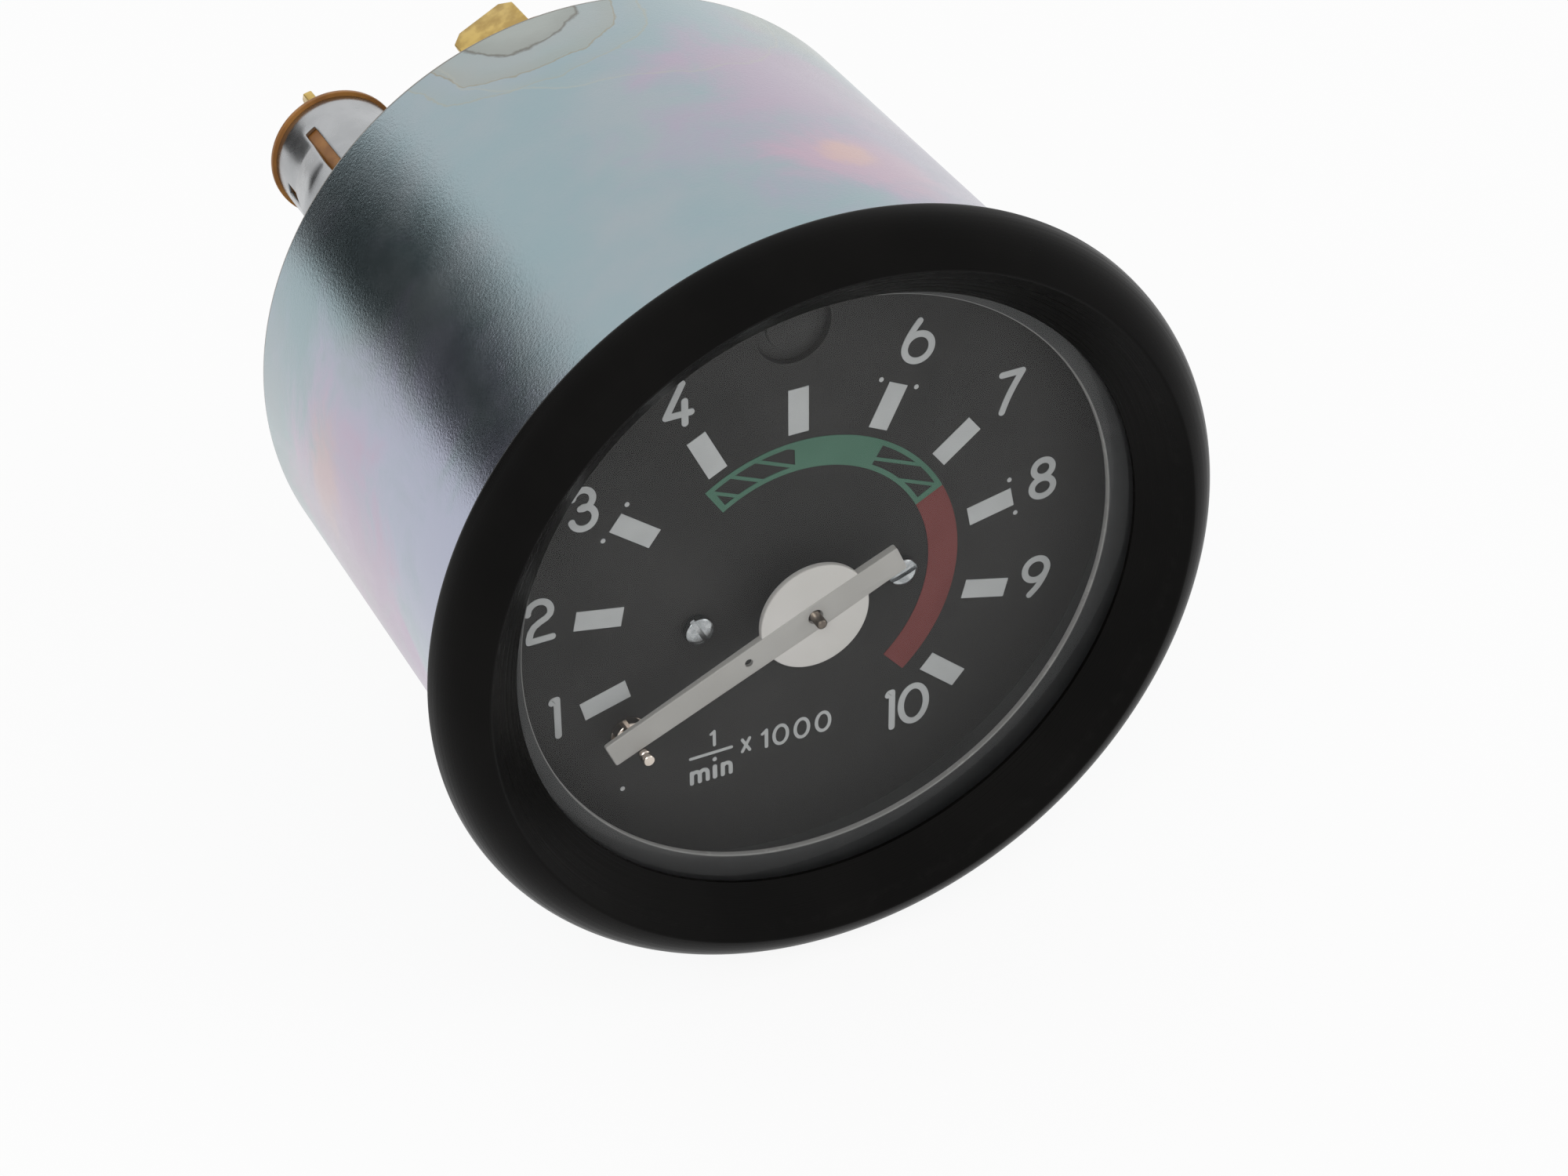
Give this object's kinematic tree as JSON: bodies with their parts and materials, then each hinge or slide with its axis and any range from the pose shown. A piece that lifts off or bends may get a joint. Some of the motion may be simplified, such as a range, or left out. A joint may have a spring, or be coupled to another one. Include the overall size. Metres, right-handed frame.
{
  "type": "motorcycle tachometer",
  "caption": "Round dashboard rev counter: black bezel, flat glass, printed dial with white pointer, zinc-plated case, eddy-current movement, rear lamp holders, threaded drive nose.",
  "frame": {"origin": "on the case axis, in the plane of the bezel's rear face, where it meets the panel", "axes": "+Y along the case axis to the rear, the dial facing -Y; +Z to the top of the dial; +X to the right of the dial"},
  "size_m": [0.0668, 0.0697, 0.0668],
  "materials": {
    "zinc_sheet": "zinc-plated sheet steel, bluish, slightly iridescent",
    "lamp_sleeve": "zinc-plated spring steel sheet",
    "bezel_black": "satin black, fine concentric brushing on the cone",
    "black_rubber": "matt",
    "clear_glass": "polished flat glass",
    "grey_ring": "grey, satin",
    "black_sleeve": "matt black",
    "dial_black": "matt charcoal",
    "mark_grey": "printed, light grey",
    "mark_green": "printed, green",
    "mark_red": "printed, red",
    "zinc_screw": "zinc-plated",
    "stop_nickel": "bright nickel, warm",
    "lens_dark": "dark translucent plastic",
    "tube_alu": "drawn aluminium",
    "pointer_white": "warm off-white paint",
    "turned_steel": "turned steel",
    "turned_brass": "turned brass",
    "spring_bronze": "phosphor bronze strip",
    "cup_alu": "deep-drawn aluminium",
    "die_cast": "die-cast, satin grey",
    "keeper_steel": "soft iron, dull",
    "magnet_black": "sintered magnet, dark grey",
    "jewel_red": "red bearing insert",
    "bush_bronze": "oil-filled sintered bronze",
    "insulator_brown": "brown moulded phenolic",
    "blade_brass": "dull brass sheet",
    "bulb_cap": "nickel-plated brass",
    "bulb_glass": "clear blown glass"
  },
  "bodies": {
    "instrument": {"case_tube": "zinc_sheet", "bezel": "bezel_black", "bezel_gasket": "black_rubber", "front_glass": "clear_glass", "glass_ring": "grey_ring", "distance_sleeve": "black_sleeve", "dial_plate": "dial_black", "scale_marks": "mark_grey", "green_band": "mark_green", "red_band": "mark_red", "dial_screws": "zinc_screw", "zero_stop": "stop_nickel", "indicator_lens": "lens_dark", "light_tube": "tube_alu", "hairspring": "spring_bronze", "hairspring_stud": "turned_brass", "bridge": "die_cast", "bridge_bush": "turned_brass", "dial_posts": "turned_brass", "bridge_pillars": "turned_brass", "bridge_screws": "zinc_screw", "movement_body": "die_cast", "keeper_cup": "keeper_steel", "shaft_bushes": "bush_bronze", "rear_plate": "zinc_sheet", "movement_screws": "zinc_screw", "rear_studs": "zinc_screw", "stud_washers": "zinc_screw", "stud_nuts": "zinc_screw", "dial_lamp_sleeve": "lamp_sleeve", "dial_lamp_insulator": "insulator_brown", "dial_lamp_blade": "blade_brass", "dial_lamp_contact": "blade_brass", "dial_bulb_cap": "bulb_cap", "dial_bulb_glass": "bulb_glass", "indicator_lamp_sleeve": "lamp_sleeve", "indicator_lamp_insulator": "insulator_brown", "indicator_lamp_blade": "blade_brass", "indicator_lamp_contact": "blade_brass", "indicator_bulb_cap": "bulb_cap", "indicator_bulb_glass": "bulb_glass"},
    "pointer_assembly": {"pointer": "pointer_white", "pointer_spindle": "turned_steel", "hairspring_collet": "turned_brass", "cup_hub": "turned_brass", "drag_cup": "cup_alu"},
    "drive_spindle": {"drive_shaft": "turned_steel", "magnet": "magnet_black", "magnet_collar": "turned_brass", "shaft_jewel": "jewel_red", "thrust_washer": "turned_steel", "retaining_clip": "turned_steel"}
  },
  "joints": [
    {"name": "pointer_swing", "type": "hinge", "parent": "instrument", "child": "pointer_assembly", "pos_m": [0, 0, -0.00395], "axis": [0, 1, 0], "range_deg": [0, 252], "stiffness_Nm_per_rad": 0.00005, "springref_deg": -28.65},
    {"name": "drive_spin", "type": "hinge", "parent": "instrument", "child": "drive_spindle", "pos_m": [0, 0, -0.00395], "axis": [0, 1, 0], "continuous": true}
  ]
}
